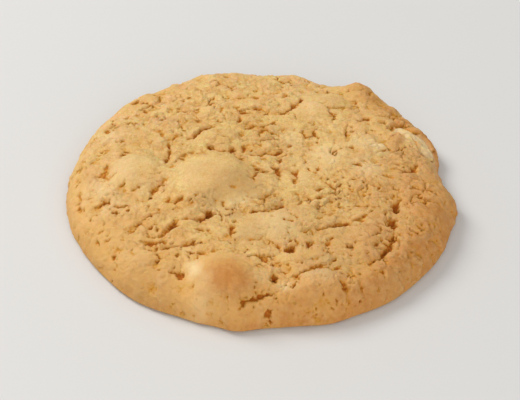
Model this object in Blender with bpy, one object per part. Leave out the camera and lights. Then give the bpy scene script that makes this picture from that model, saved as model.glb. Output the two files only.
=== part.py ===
"""A large, thin white chocolate macadamia cookie, 106 mm across, as baked on a flat tray.

The dough is one solid: an uneven round outline with a rolled edge and a flat underside, a low
crown, mounds where nuts and chocolate lift the crust, and the main furrows between them. One
chunk of white chocolate lies bare in a pocket at the rim, and is a solid of its own.

Sizes are in millimetres, turned into metres as each mesh is made. Places are counted from the
middle of the rim's circle, with +X to the right and +Y to the back.
"""

import math

import bmesh
import bpy
import numpy as np
from mathutils import Euler, Vector, noise

MM = 0.001

# The rim, as its widest edge is seen from above.
RIM_RADIUS = 52.2
# Each swell or dent of the rim: direction in degrees, half width in degrees, height.
RIM_SWELLS = (
    (7, 9, -2.9),
    (19, 5, 0.5),
    (31, 8, -0.9),
    (54, 5, 1.6),
    (66, 9, -3.2),
    (88, 10, -2.3),
    (105, 8, 1.1),
    (137, 8, 1.4),
    (152, 9, 0.9),
    (180, 14, 0.8),
    (197, 5, 0.3),
    (233, 10, 0.8),
    (253, 4, 0.6),
    (263, 5, 1.6),
    (289, 6, 1.1),
    (307, 14, 1.5),
    (331, 12, 1.0),
    (351, 5, 1.2),
    (359, 3, -0.6),
)

# The edge in section: it is widest just over the tray, rolls over to a shoulder, and the
# underside is tucked in a little below it.
EDGE_HEIGHT = 1.2
EDGE_TUCK = 1.0
ROLL_WIDTH = 5.0
ROLL_HEIGHT = 5.5
CROWN_HEIGHT = 4.1
CROWN_SPREAD = 9.0

# Mounds in the crust: x, y, half length along x, half length along y, height.
NUT_MOUNDS = (
    (-34, -2, 8.5, 8.0, 2.5),
    (-13, -5.5, 12.5, 11.5, 2.8),
    (-8.5, -43, 9.5, 7.5, 3.1),
)
SOFT_MOUNDS = (
    (5, -24, 9, 7, 1.3),
    (14, 26, 13, 10, 0.9),
    (29, 39, 6, 6, 1.7),
    (43, 16, 7, 6, 1.3),
    (14, -45, 9, 5, 1.0),
    (28, 6, 8, 6, 0.7),
    (43, -17, 8, 13, 1.2),
    (-38, 17, 8, 7, 0.6),
    (-13, 13, 6, 5, 0.9),
)
# How steeply a mound's flank falls: 2 is a plain bell, more has a flatter top.
NUT_FLANK = 2.8
SOFT_FLANK = 2.0

# Furrows between the mounds, each a line of points that it passes through, then its depth.
FURROWS = (
    (((-42, 6), (-43, 0), (-41.5, -5)), 0.6),
    (((-25, 8), (-26, 0), (-26, -7), (-29, -13)), 0.8),
    (((-15, 8.5), (-7, 7), (-4.5, 5), (6, 7.5)), 0.7),
    (((-20, 13), (-17, 16), (-13, 18)), 0.5),
    (((-17, -22), (-13, -19)), 0.7),
    (((-3, -19), (6, -17), (10, -14)), 0.6),
    (((30, -13), (36, -12.5), (35, -18), (34, -25), (32, -33), (26, -39)), 0.6),
    (((6, 25), (9, 27), (12, 31)), 0.5),
    (((23, 38), (24, 33), (27, 27)), 0.7),
    (((-3, -51), (0, -49), (4, -47)), 0.5),
    (((9, -42), (13, -40), (17, -39)), 0.5),
)
FURROW_HALF_WIDTH = 1.7

# The bare chunk of white chocolate in the shoulder of the rim.
CHUNK_MIDDLE = (42.2, 14.8, 6.5)
CHUNK_SIZE = (15.0, 6.6, 5.6)
CHUNK_TURN = -42
CHUNK_DIP = 14
CHUNK_LUMP_SIZE = 4.0
CHUNK_LUMP_HEIGHT = 0.5
CHUNK_SQUARENESS = 0.35
SEAT_GAP = 0.35

# How finely the crust is divided.
RINGS = 32
ROLL_RINGS = 6
TUCK_RINGS = 3
POINTS_PER_RING = 6


def clear_scene():
    for obj in list(bpy.data.objects):
        bpy.data.objects.remove(obj, do_unlink=True)


def principled(name, colour, roughness):
    material = bpy.data.materials.new(name)
    material.use_nodes = True
    shader = material.node_tree.nodes["Principled BSDF"]
    shader.inputs["Base Color"].default_value = (*colour, 1.0)
    shader.inputs["Roughness"].default_value = roughness
    shader.inputs["Metallic"].default_value = 0.0
    return material


def rim_radius(angle):
    """Distance from the middle to the widest edge, for each angle in radians."""
    radius = np.full(angle.shape, RIM_RADIUS)
    for direction, half_width, height in RIM_SWELLS:
        turn = (angle - math.radians(direction) + math.pi) % (2 * math.pi) - math.pi
        radius += height * np.exp(-((turn / math.radians(half_width)) ** 2))
    return radius


def mound_height(x, y, mounds, flank):
    """Height that the mounds add to the crust at each place."""
    height = np.zeros(x.shape)
    for middle_x, middle_y, half_x, half_y, top in mounds:
        out = np.hypot((x - middle_x) / half_x, (y - middle_y) / half_y)
        height += top * np.exp(-1.2 * out**flank)
    return height


def distance_to_line(x, y, points):
    """Distance in plan from each place to a line through the points."""
    nearest = np.full(x.shape, np.inf)
    for (x0, y0), (x1, y1) in zip(points, points[1:]):
        run_x = x1 - x0
        run_y = y1 - y0
        along = ((x - x0) * run_x + (y - y0) * run_y) / (run_x**2 + run_y**2)
        along = np.clip(along, 0, 1)
        away = np.hypot(x - x0 - along * run_x, y - y0 - along * run_y)
        nearest = np.minimum(nearest, away)
    return nearest


def furrow_depth(x, y):
    """Depth of the deepest furrow at each place."""
    depth = np.zeros(x.shape)
    for points, deepest in FURROWS:
        away = distance_to_line(x, y, points) / FURROW_HALF_WIDTH
        depth = np.maximum(depth, deepest * np.exp(-(away**2)))
    return depth


def crust_ring(angle, roll, inward):
    """Points of one ring of the crust.

    roll is the angle up the rolled edge, from 0 at the widest edge to a quarter turn at the
    shoulder. inward is the share of the way from the shoulder to the middle.
    """
    rim = rim_radius(angle)
    shoulder = rim - ROLL_WIDTH
    radius = (rim - ROLL_WIDTH * (1 - math.cos(roll))) if inward == 0 else shoulder * (1 - inward)
    x = radius * np.cos(angle)
    y = radius * np.sin(angle)
    crown = CROWN_HEIGHT * (1 - np.exp(-(rim - radius) / CROWN_SPREAD))
    relief = mound_height(x, y, NUT_MOUNDS, NUT_FLANK)
    relief += mound_height(x, y, SOFT_MOUNDS, SOFT_FLANK)
    relief -= furrow_depth(x, y)
    z = EDGE_HEIGHT + crown + math.sin(roll) * (ROLL_HEIGHT + relief)
    return np.stack([x, y, z], axis=1)


def tuck_ring(angle, share):
    """Points of one ring below the widest edge, down to the underside at a share of 1."""
    turn = share * math.pi / 2
    radius = rim_radius(angle) - EDGE_TUCK * (1 - math.cos(turn))
    z = np.full(angle.shape, EDGE_HEIGHT * (1 - math.sin(turn)))
    return np.stack([radius * np.cos(angle), radius * np.sin(angle), z], axis=1)


def cookie_rings():
    """All rings of points, from the middle of the crust out over the edge to the underside."""
    top_rings = RINGS - ROLL_RINGS
    rings = []
    for number in range(1, RINGS + 1):
        count = POINTS_PER_RING * number
        angle = np.arange(count) * 2 * math.pi / count
        if number <= top_rings:
            rings.append(crust_ring(angle, math.pi / 2, 1 - number / top_rings))
        else:
            rings.append(crust_ring(angle, (RINGS - number) / ROLL_RINGS * math.pi / 2, 0))
    rings.extend(tuck_ring(angle, number / TUCK_RINGS) for number in range(1, TUCK_RINGS + 1))
    return rings


def stitch(bm, inner, outer):
    """Fills the band between two closed rings, which may differ in their number of points."""
    i = 0
    j = 0
    while i < len(inner) or j < len(outer):
        here = inner[i % len(inner)]
        there = outer[j % len(outer)]
        if (i + 1) * len(outer) <= (j + 1) * len(inner):
            i += 1
            bm.faces.new((here, there, inner[i % len(inner)]))
        else:
            j += 1
            bm.faces.new((here, there, outer[j % len(outer)]))


def object_from(bm, name, location):
    mesh = bpy.data.meshes.new(name)
    bm.normal_update()
    bm.to_mesh(mesh)
    bm.free()
    mesh.shade_smooth()
    obj = bpy.data.objects.new(name, mesh)
    obj.location = location
    bpy.context.scene.collection.objects.link(obj)
    return obj


def make_cookie(rings, location):
    """The dough, as one closed solid on a flat underside."""
    bm = bmesh.new()
    middle_top = crust_ring(np.zeros(1), math.pi / 2, 1)[0]
    centre = bm.verts.new(middle_top * MM)
    previous = None
    for ring in rings:
        current = [bm.verts.new(point * MM) for point in ring]
        if previous is None:
            for here, there in zip(current, current[1:] + current[:1]):
                bm.faces.new((centre, here, there))
        else:
            stitch(bm, previous, current)
        previous = current
    bm.faces.new(reversed(previous))
    cookie = object_from(bm, "cookie", location)
    cookie.data.materials.append(principled("baked_dough", (0.62, 0.38, 0.15), 0.72))
    return cookie


def chunk_form(grow):
    """A lump with blunt corners, as broken chocolate softened by baking, grown by a gap."""
    bm = bmesh.new()
    bmesh.ops.create_icosphere(bm, subdivisions=3, radius=1)
    half = Vector(CHUNK_SIZE) / 2
    tilt = Euler((0, math.radians(CHUNK_DIP), math.radians(CHUNK_TURN))).to_matrix()
    for vert in bm.verts:
        squared = 1 - CHUNK_SQUARENESS * (1 - max(abs(part) for part in vert.co))
        out = vert.co * squared
        point = Vector(side * reach for side, reach in zip(out, half))
        lump = noise.noise(point / CHUNK_LUMP_SIZE) * CHUNK_LUMP_HEIGHT
        point += vert.co * (lump + grow)
        vert.co = (tilt @ point + Vector(CHUNK_MIDDLE)) * MM
    return bm


def seat_chunk(cookie, location):
    """The bare chunk, and the pocket that it leaves in the dough."""
    seat = object_from(chunk_form(SEAT_GAP), "chunk_seat", location)
    seat.hide_render = True
    seat.display_type = "WIRE"
    pocket = cookie.modifiers.new("pocket", "BOOLEAN")
    pocket.operation = "DIFFERENCE"
    pocket.solver = "EXACT"
    pocket.object = seat
    chunk = object_from(chunk_form(0), "white_chunk", location)
    chunk.data.materials.append(principled("white_chocolate", (0.86, 0.74, 0.50), 0.5))


def main():
    clear_scene()
    rings = cookie_rings()
    outline = rings[RINGS - 1]
    low = outline.min(axis=0)
    high = outline.max(axis=0)
    # The solid stands with its box's middle over the origin.
    location = Vector((-(low[0] + high[0]) / 2, -(low[1] + high[1]) / 2, 0)) * MM
    cookie = make_cookie(rings, location)
    seat_chunk(cookie, location)


main()
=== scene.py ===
"""Finish of a white chocolate macadamia cookie: the baked crust, the bare chunk of white
chocolate, the tips of smaller chips and a plain stage with soft light.

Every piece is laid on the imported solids, which give all outer sizes. Lengths in the tables are
in millimetres, and places on the crust are counted from the middle of the rim's circle, with
+X to the right and +Y to the back.
"""

import math
from itertools import product

import bmesh
import bpy
import numpy as np
from bpy.props import FloatProperty, FloatVectorProperty, IntProperty, PointerProperty
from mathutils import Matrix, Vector
from mathutils.bvhtree import BVHTree


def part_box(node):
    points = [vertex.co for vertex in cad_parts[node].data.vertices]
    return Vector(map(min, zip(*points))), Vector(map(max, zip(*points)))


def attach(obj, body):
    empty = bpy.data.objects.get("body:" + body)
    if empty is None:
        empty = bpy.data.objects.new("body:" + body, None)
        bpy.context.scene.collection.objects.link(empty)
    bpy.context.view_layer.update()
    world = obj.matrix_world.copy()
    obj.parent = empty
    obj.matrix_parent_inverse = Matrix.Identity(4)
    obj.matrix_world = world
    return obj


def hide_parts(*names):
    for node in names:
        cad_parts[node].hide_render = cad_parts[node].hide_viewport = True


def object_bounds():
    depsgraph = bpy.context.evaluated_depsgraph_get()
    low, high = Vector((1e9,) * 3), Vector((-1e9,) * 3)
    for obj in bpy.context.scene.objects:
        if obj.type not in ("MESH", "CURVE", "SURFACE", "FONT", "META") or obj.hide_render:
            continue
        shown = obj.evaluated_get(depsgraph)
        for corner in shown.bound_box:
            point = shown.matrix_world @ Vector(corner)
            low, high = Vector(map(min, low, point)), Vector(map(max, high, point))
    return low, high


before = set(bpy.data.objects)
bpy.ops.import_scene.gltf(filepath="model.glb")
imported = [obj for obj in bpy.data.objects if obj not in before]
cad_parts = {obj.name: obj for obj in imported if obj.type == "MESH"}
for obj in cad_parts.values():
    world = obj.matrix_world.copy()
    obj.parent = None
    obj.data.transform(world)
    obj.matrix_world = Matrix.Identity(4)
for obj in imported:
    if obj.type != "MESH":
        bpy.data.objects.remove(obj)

bl_info = {
    "name": "White Chocolate Macadamia Cookie",
    "version": (1, 0, 0),
    "blender": (4, 5, 0),
    "location": "3D View > Sidebar > Cookie",
    "description": "Finishes a baked cookie over its packed solids, on a plain lit stage",
    "category": "Object",
}

MM = 0.001
CAD_LOW, CAD_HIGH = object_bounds()

# The rim's circle: its middle, from the middle of the solid's box, and its radius.
RIM_MIDDLE = (0.17, 0.88)
RIM_RADIUS = 52.0

# The rings of the crust: the way round the rolled edge, how far apart they are on the underside,
# how high the lowest one stands, and how high the shoulder is, where the rolled edge begins.
ROLL_LENGTH = 8.5
UNDER_SPACING = 1.05
FOOT_HEIGHT = 0.01
SHOULDER_HEIGHT = 6.2

# How strongly the rolled edge is unrolled, so that marks on it keep their size.
EDGE_UNROLL = 0.11

# Nut mounds: how much prouder each one stands, then how deep the valley round its foot is, and
# where it lies and how wide it is as shares of the mound's half length.
MOUND_RISE = 0.35
VALLEY_DEPTH = 0.40
VALLEY_PLACE = 1.08
VALLEY_WIDTH = 0.17

# How deep the hole is where two crevices cross.
CROSSING_DEPTH = 0.9

# How far the crust stays under the bare chocolate, and how far round the chunk it is fitted.
CHUNK_PROUD = 0.35
CHUNK_MARGIN = 2.0

# How far the foot of the side swells out, and how deep the underside's hollows are on average.
BELLY = 0.45
UNDER_DIMPLE = 0.12

# How much of a hollow's depth counts towards its painted shade: measured from the ground close by,
# from the ground further off, and as it was cut.
CLOSE_SHARE = 0.8
WIDE_SHARE = 0.5
CUT_SHARE = 0.35

# The bare chocolate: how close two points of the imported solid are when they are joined, how often
# its faces are split, then the depth and half width of the clefts in it.
JOINED_WITHIN = 0.01
CHUNK_SPLITS = 3
CHUNK_CLEFT = 0.35
CHUNK_CLEFT_WIDTH = 0.10

# The chip tips: their half height, how far they are sunk, and the height that they are dropped from.
TIP_HALF_HEIGHT = 0.6
TIP_SUNK = 0.45
DROP_HEIGHT = 30.0

# Plates and flakes of crust in the finish: their size, how high they step, how far they tilt.
PLATE_SIZE = 4.4
PLATE_STEP = 0.55
PLATE_TILT = 4.2
FLAKE_SIZE = 1.7
FLAKE_STEP = 0.18
FLAKE_TILT = 1.1

# Rounds of averaging: over the imported form, over the ground close by and further off that hollows
# are measured from, and over the orange fringe round a hollow.
SETTLE_ROUNDS = 24
CLOSE_ROUNDS = 36
WIDE_ROUNDS = 160
STAIN_ROUNDS = 14

# Pinholes: how far out they go, and from what to what their half width and depth may be.
PINHOLE_REACH = 55.0
PINHOLE_HALVES = (0.12, 0.34)
PINHOLE_DEPTHS = (0.25, 0.75)

# The stage, in metres: the floor's radius, then each lamp's name, width and place.
FLOOR_RADIUS = 1.6
KEY_LAMP = ("key_light", 0.6, (-0.72, 0.50, 0.85))
FILL_LAMP = ("fill_light", 1.0, (0.25, -1.0, 0.55))
LAMP_COLOUR = (1.0, 0.975, 0.94)
SKY_COLOUR = (1.0, 0.985, 0.965, 1.0)

# The camera: the width of its sensor, and where it looks, from the rim's middle.
SENSOR_WIDTH = 36.0
CAMERA_AIM = (-0.3, -1.1)

# Mounds with a nut right under the crust, where it stays whole: x, y, half length, half width.
NUT_MOUNDS = (
    (-34, -2, 8.5, 8.0),
    (-13, -5.5, 12.5, 11.5),
    (-9.5, -42, 9.5, 8.0),
)

# Plates of crust that the spreading dough lifted or let down: x, y, half length, half width,
# turn, height.
LIFTED_PLATES = (
    (-9, -3, 5, 4, 40, 0.6),
    (-18, -6, 5, 2.6, 50, 0.35),
    (-5.5, -9, 3.6, 3, 0, -0.45),
    (-13.5, -11, 4, 2.6, -20, 0.35),
    (-19, 2, 3, 2.4, 0, -0.35),
    (-36.5, 0, 4, 3, 20, 0.35),
    (-31, -5, 3, 3.4, 0, -0.4),
    (-38, -6.5, 3.4, 2, 30, 0.3),
    (-4.5, -40, 3, 4, 0, -0.35),
    (-13, -38.5, 4, 2.5, -20, 0.3),
    (-12, 12.5, 6.5, 4.5, 10, 0.6),
    (-1, -24, 5, 3.5, 20, 0.4),
    (6, -23, 9, 6, 25, 0.5),
    (25, -28, 7.5, 5, 35, 0.6),
    (18, -36, 5, 3, 30, 0.4),
    (14, -18, 7, 3, 25, 0.4),
    (29, -24, 4, 3, 60, 0.3),
    (-30, 12, 4.5, 4, 0, 0.4),
    (-24, 20, 6, 4.5, 15, 0.4),
    (-39, 14, 4, 5, 0, 0.4),
    (-14, 23, 4, 4, 0, 0.3),
    (5, 12, 5, 4.5, 0, 0.4),
    (0, 29, 7, 3, 5, 0.3),
    (14, 27, 8, 7, 0, 0.4),
    (20, 4, 7, 6, 0, 0.4),
    (29, -2, 3, 4, 20, 0.4),
    (37.2, 12.4, 2.4, 4, -20, 0.8),
    (33.6, 34, 6, 2.6, -50, -0.9),
    (38.6, 27, 1.6, 1.6, 0, -0.7),
    (41, -7, 3.5, 5, 10, 0.4),
    (-46, -2, 3, 5, 5, 0.4),
    (-36, -21, 4, 3, 0, 0.3),
    (-28, -20, 3, 2.5, 0, 0.4),
    (-31, -36, 6, 4, -30, 0.3),
    (12, -45, 7, 3.5, 15, 0.5),
    (29, 38, 3.5, 5, 20, 0.6),
    (-20, -28, 4, 3, 0, 0.4),
    (-18, -17, 5, 2, 30, 0.4),
)

# Cracks in the crust: the points that each passes through, its depth and its width.
CRACKS = (
    # beside the nut mounds
    (((-25.4, 11), (-24.9, 7.5), (-25.1, 5), (-25.7, 3), (-25.8, 0.5)), 1.5, 0.9),
    (((-25.3, -4.5), (-26.2, -7.6), (-28.4, -9.9), (-29.2, -12)), 1.2, 1.0),
    (((-42, 4), (-42.2, 0), (-42.3, -3), (-41, -5.3)), 1.0, 0.8),
    (((-21.6, 3.6), (-20.3, 0.6)), 0.5, 0.6),
    (((-22.8, -8.6), (-19.8, -8.3)), 0.5, 0.5),
    (((-13.6, -12.6), (-13.7, -14.5)), 0.9, 0.5),
    (((-8.2, -8.6), (-7.6, -10.6)), 0.5, 0.6),
    (((-16.4, -22), (-15, -20.6), (-12.9, -18.8)), 1.6, 1.2),
    (((-2.8, -19.4), (-0.6, -18.8), (1.6, -18.7), (4.6, -17.6), (6.5, -16)), 1.1, 0.8),
    # the long furrow behind the middle mound
    (((-14.6, 9), (-13.8, 8), (-12.3, 7.4), (-10.6, 6.7), (-7.8, 7)), 1.4, 1.1),
    (((-4.6, 9.9), (-5, 6)), 1.2, 0.9),
    (((-5, 6), (-3.7, 5.2), (-1, 5.3), (1.5, 6.4), (5.8, 7.4)), 1.3, 1.0),
    (((2.3, 3.3), (4.3, 2.9), (6.3, 2.1)), 0.7, 0.7),
    (((3.2, -0.4), (4.2, -2), (5.0, -3.8)), 1.9, 1.5),
    # behind the middle
    (((-20.2, 12.4), (-18.2, 13), (-17.2, 15), (-16, 16.6), (-12.9, 18.2)), 1.6, 1.2),
    (((-6.2, 20.2), (-5.6, 22.8)), 1.3, 0.9),
    (((-6.2, 14.7), (-4.9, 13.3)), 0.8, 0.9),
    (((1.8, 19.8), (0.9, 17.2), (0.1, 15.8), (-0.7, 14)), 1.0, 0.9),
    (((2.2, 27.2), (1.7, 24.1), (2.5, 21), (1.8, 19.8)), 0.7, 0.6),
    (((5.2, 23.6), (7.6, 24.8), (9.3, 27), (11.8, 31.2)), 1.5, 1.4),
    (((-10.8, 27.2), (-10.9, 25.2), (-10.1, 22.6)), 0.9, 0.7),
    (((-23.8, 26), (-21.3, 26.2)), 1.0, 0.9),
    (((-32, 27.2), (-29, 28.5)), 0.7, 0.9),
    (((-30.8, 24.3), (-32, 21.6), (-33, 18.6)), 0.8, 1.0),
    (((9.6, 13.7), (11.2, 13)), 0.8, 0.8),
    (((13.4, 14.9), (14.9, 15.9)), 0.7, 0.8),
    # the rim at the back right
    (((22.9, 38.8), (22.9, 35.2), (23.8, 32)), 0.9, 0.9),
    (((25.3, 31), (26.6, 27.8)), 0.8, 0.8),
    (((24.6, 1.2), (26.2, 0.8), (27, -0.3)), 1.1, 0.8),
    (((29.8, -3), (28.5, -6.3)), 0.8, 0.9),
    (((42.8, 4.6), (41.6, 0.8), (40, -1.8)), 1.6, 1.6),
    (((38.2, -0.2), (41.6, -0.6)), 1.5, 2.0),
    (((33.6, -4.4), (34.7, -3)), 0.6, 0.7),
    # the chain down the right
    (((30.2, -11.6), (33.4, -12.2), (36.9, -11.4)), 0.9, 1.0),
    (((36.4, -12.4), (35.6, -14.8), (35.3, -18)), 2.0, 1.5),
    (((34.3, -20.2), (34.2, -22.2), (33.8, -24.2)), 2.7, 2.2),
    (((35.0, -25), (33.5, -27.6), (32.7, -30.4)), 1.9, 1.5),
    (((33.2, -30.2), (32, -32), (30.2, -34.6), (27, -37.8)), 1.8, 1.3),
    (((23.6, -9.8), (24.2, -7.2)), 0.9, 1.0),
    (((14.4, -10), (16.6, -8.6)), 1.1, 0.8),
    (((8.4, -13.6), (11.5, -14), (13.6, -13.2)), 0.9, 1.1),
    (((14.5, -25.6), (17.6, -24.8), (21.6, -23.4), (25.6, -21.8), (29.4, -17.6)), 1.3, 1.5),
    (((18.2, -29), (17.4, -31), (15.4, -34.2)), 1.0, 0.9),
    (((13, -30.6), (11.8, -32.6), (10, -33.7)), 1.0, 0.9),
    (((13.2, -37.5), (14.4, -36.7), (16.1, -36.1)), 0.9, 0.8),
    (((8.5, -42.4), (10.4, -41.1), (13, -39.8), (16.5, -38)), 1.3, 1.1),
    (((20, -42.6), (20.8, -45), (22, -47.6)), 1.2, 1.1),
    (((20.7, -48.8), (22.7, -47)), 0.7, 0.6),
    # the near rim
    (((-6, -51.8), (-4.2, -50.6), (-1.6, -49.3), (0.4, -48.4), (3.2, -47.5)), 1.8, 0.62),
    (((3.3, -42.2), (3.4, -45.5)), 1.2, 0.9),
    (((-7.4, -32.6), (-6.2, -34.4), (-4.5, -35.5)), 0.5, 0.7),
    (((1.9, -38.9), (5.2, -39.2)), 0.8, 0.8),
    # the left
    (((-8, -23.5), (-7.6, -25.6), (-7.8, -27.6)), 0.9, 0.8),
    (((-21.4, -21.4), (-23, -23.4), (-24.6, -25.4), (-26.4, -28)), 1.5, 1.9),
    (((-31, -29.2), (-28.5, -29.8), (-25.4, -29.8)), 1.3, 1.4),
    (((-33.9, -28.6), (-32.7, -31.4)), 1.0, 0.9),
    (((-43.1, -25), (-42.1, -27.2)), 1.1, 0.8),
    (((-49.3, -12.2), (-47.9, -14.6)), 0.9, 0.8),
    (((-46, -16.4), (-44.3, -19.6)), 0.9, 0.8),
    (((-48.3, 7.7), (-49.1, 4.1), (-49.6, 1)), 0.9, 1.1),
    (((-44.6, 7.2), (-42.2, 9.3)), 1.0, 1.3),
    (((-26.5, -35.4), (-26.3, -37.2)), 1.0, 0.6),
)

# Kinds of crumb: size, height over the ground between, how far their sides slope, and seed.
CRUMBS = (
    (7.5, 0.50, 0.12, 21),
    (4.0, 0.22, 0.16, 31),
    (1.8, 0.06, 0.35, 41),
)

# Angular crumbs: size, how far edges keep to them, how far they stand up or down, and seed.
CRUMB_CELLS = (
    (2.1, 0.35, 0.04, 301),
    (0.95, 0.30, 0.02, 311),
)

# Kinds of crevice: size of the plates between, half width, depth, how many open, and seed.
CREVICES = (
    (7.2, 0.40, 0.95, 0.25, 211),
    (5.2, 0.36, 0.62, -0.02, 225),
)

# Where the crust crumbled most as it spread: x, y, half length, half width, turn, strength.
LOOSE_PLACES = (
    (-12, 23, 24, 9, 0, 0.5),
    (1, 8, 9, 17, 0, 0.8),
    (-2, -16, 22, 6, 10, 0.9),
    (15, -15, 14, 9, 20, 0.8),
    (-34, -19, 16, 8, -20, 0.55),
    (-44, 6, 6, 12, 0, 0.5),
    (3, -38, 6, 8, 0, 0.5),
    (24, -36, 9, 6, 30, 0.5),
    (34, 3, 9, 8, 0, 0.35),
    (41, -10, 8, 12, 0, 0.45),
    (40, -28, 8, 14, -40, 0.45),
)

# Where it stayed smooth within those.
SMOOTH_PLACES = (
    (-1, -24, 7, 4.5, 15, 0.6),
    (8, -23, 8, 5, 25, 0.7),
    (26, -28, 6, 4, 35, 0.5),
    (-12, 12.5, 6, 3.5, 10, 0.5),
    (20, 5, 7, 6, 0, 0.4),
    (17, 27, 11, 8, 0, 0.7),
    (-5, -14, 8, 3.2, 25, 0.9),
    (10.5, -5, 4, 3.5, 0, 0.6),
)

# Open pits: x, y, half length, half width, turn in degrees, depth.
PITS = (
    (7.4, -33.2, 1.7, 1.1, 15, 2.4),
    (12.4, -31.4, 1.2, 0.9, 40, 1.5),
    (22.6, -31.8, 1.1, 0.9, 0, 2.0),
    (25.5, -27.9, 0.4, 0.4, 0, 1.1),
    (19.4, -24.1, 0.8, 0.6, 60, 1.2),
    (18, -29, 0.7, 0.5, 40, 1.1),
    (32.5, -31.5, 0.8, 0.8, 0, 2.2),
    (35.5, -16.5, 0.8, 1.1, 0, 1.7),
    (-1.8, -18.8, 1.0, 0.8, -15, 1.6),
    (-13.9, -19.2, 1.1, 0.8, 30, 1.6),
    (-15.8, -25.7, 0.9, 0.6, 0, 1.1),
    (-13.4, -25.7, 0.9, 0.6, 0, 1.0),
    (-29.2, -12.4, 0.7, 0.7, 0, 1.5),
    (-7.8, 7.2, 0.8, 1.1, 0, 1.6),
    (-13.9, 8.2, 0.7, 0.8, 0, 1.2),
    (-2.9, -6.3, 0.6, 0.5, 0, 1.0),
    (-7.4, -10.8, 0.9, 0.7, 40, 0.9),
    (-1.2, -9.1, 0.5, 0.4, 0, 0.7),
    (-3.2, -13.4, 0.4, 0.5, 0, 0.7),
    (-4.9, 25.1, 0.9, 0.6, 0, 1.2),
    (-1.4, 31.8, 1.3, 0.8, -10, 1.0),
    (-7.8, 32.2, 2.2, 0.8, 0, 0.8),
    (-14, 31.8, 0.7, 0.8, 30, 0.9),
    (6.3, 32, 0.7, 0.9, 0, 0.8),
    (-18.2, 26, 1.2, 0.9, -40, 1.0),
    (-21.3, 25.9, 0.9, 0.7, 0, 1.3),
    (-23.1, 33.8, 0.7, 1.7, 0, 1.0),
    (-35.8, 32.3, 1.1, 1.1, 0, 1.4),
    (-25.8, 27.6, 1.0, 0.6, -30, 0.8),
    (-27.2, 14.3, 0.8, 0.9, 0, 1.0),
    (-37.6, 5.4, 0.9, 0.7, 0, 0.9),
    (-42.9, 17.8, 0.7, 1.3, 0, 1.1),
    (-41.6, 20.9, 0.6, 0.8, 0, 0.8),
    (-37.1, 23.4, 0.6, 0.7, 0, 0.8),
    (-17.6, 20.4, 1.1, 0.8, 0, 0.9),
    (14.6, 18.8, 0.7, 1.0, 0, 0.9),
    (29.6, 22.2, 1.1, 0.9, 30, 1.4),
    (33.4, 20.8, 1.0, 0.5, -20, 0.7),
    (39.9, 21.6, 1.2, 0.9, 20, 1.5),
    (41.8, 21, 1.0, 0.6, -20, 1.6),
    (35.5, 27.9, 0.8, 0.7, 0, 0.9),
    (26.2, 0.7, 1.0, 0.8, -30, 1.2),
    (24.9, 8.6, 0.8, 1.2, -20, 0.9),
    (17.8, 12.3, 0.5, 1.0, 0, 0.7),
    (5.8, 16.4, 0.4, 0.9, 0, 0.7),
    (36.2, 12.3, 0.8, 0.6, 0, 0.7),
    (39.2, 6.7, 0.9, 0.4, -50, 0.8),
    (44.3, -9.6, 0.4, 0.9, 10, 0.8),
    (37.9, -5.3, 0.6, 0.5, 0, 0.8),
    (32.8, -13.6, 0.7, 0.5, 0, 1.0),
    (31, -13.6, 0.7, 0.5, 0, 0.9),
    (27.4, -11.4, 0.5, 0.7, 0, 0.9),
    (18.3, -14.6, 0.6, 0.9, 30, 0.9),
    (25.9, -16, 0.4, 0.8, 20, 0.7),
    (38.7, -15.8, 0.5, 0.6, 0, 0.8),
    (29.6, -17, 0.7, 1.0, -30, 0.9),
    (45.6, -21.5, 0.5, 1.0, 0, 1.1),
    (38.8, -26.4, 0.6, 0.7, 0, 1.1),
    (38.3, -32.4, 0.5, 0.7, 0, 1.0),
    (3.3, -43.1, 0.7, 1.2, 0, 1.9),
    (16.1, -39.2, 0.9, 0.6, 20, 1.0),
    (19.5, -39.1, 0.7, 0.6, 0, 0.9),
    (20, -43.8, 0.5, 0.8, 0, 1.1),
    (21.5, -45.6, 0.8, 0.6, 0, 1.2),
    (1.7, -51.5, 0.9, 0.7, 20, 1.6),
    (0.9, -36.4, 0.7, 0.6, 30, 0.9),
    (7, -37.9, 0.5, 0.6, 0, 0.8),
    (-1.5, -43.9, 0.3, 0.4, 0, 0.5),
    (-20.6, -41.2, 1.0, 1.3, 20, 1.5),
    (-24.4, -41.6, 0.7, 0.5, 0, 0.8),
    (-21.3, -34.9, 0.8, 0.7, 0, 1.2),
    (-25.1, -30, 1.0, 0.9, -30, 1.4),
    (-23.2, -23.9, 1.1, 1.1, 0, 1.0),
    (-32, -23.3, 0.8, 0.9, 0, 1.1),
    (-38.3, -17.5, 0.9, 0.9, 0, 1.4),
    (-29.5, -15.8, 0.7, 0.5, 0, 0.9),
    (-33.2, -15.2, 1.5, 0.8, 0, 0.7),
    (-38, -32.5, 0.7, 0.8, 30, 1.2),
    (-37.1, -34.9, 0.7, 0.5, 0, 0.9),
    (-35.6, -27.3, 0.5, 0.8, 0, 0.8),
    (-42.4, -16.6, 0.5, 0.9, 0, 0.8),
    (-47.1, -1.8, 0.8, 0.6, 0, 0.8),
    (-44.5, -8.4, 0.4, 0.5, 0, 0.7),
    (-17.2, -32.3, 0.4, 0.8, -20, 0.7),
    (-19.4, -37, 0.9, 0.7, 0, 0.8),
)

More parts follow.
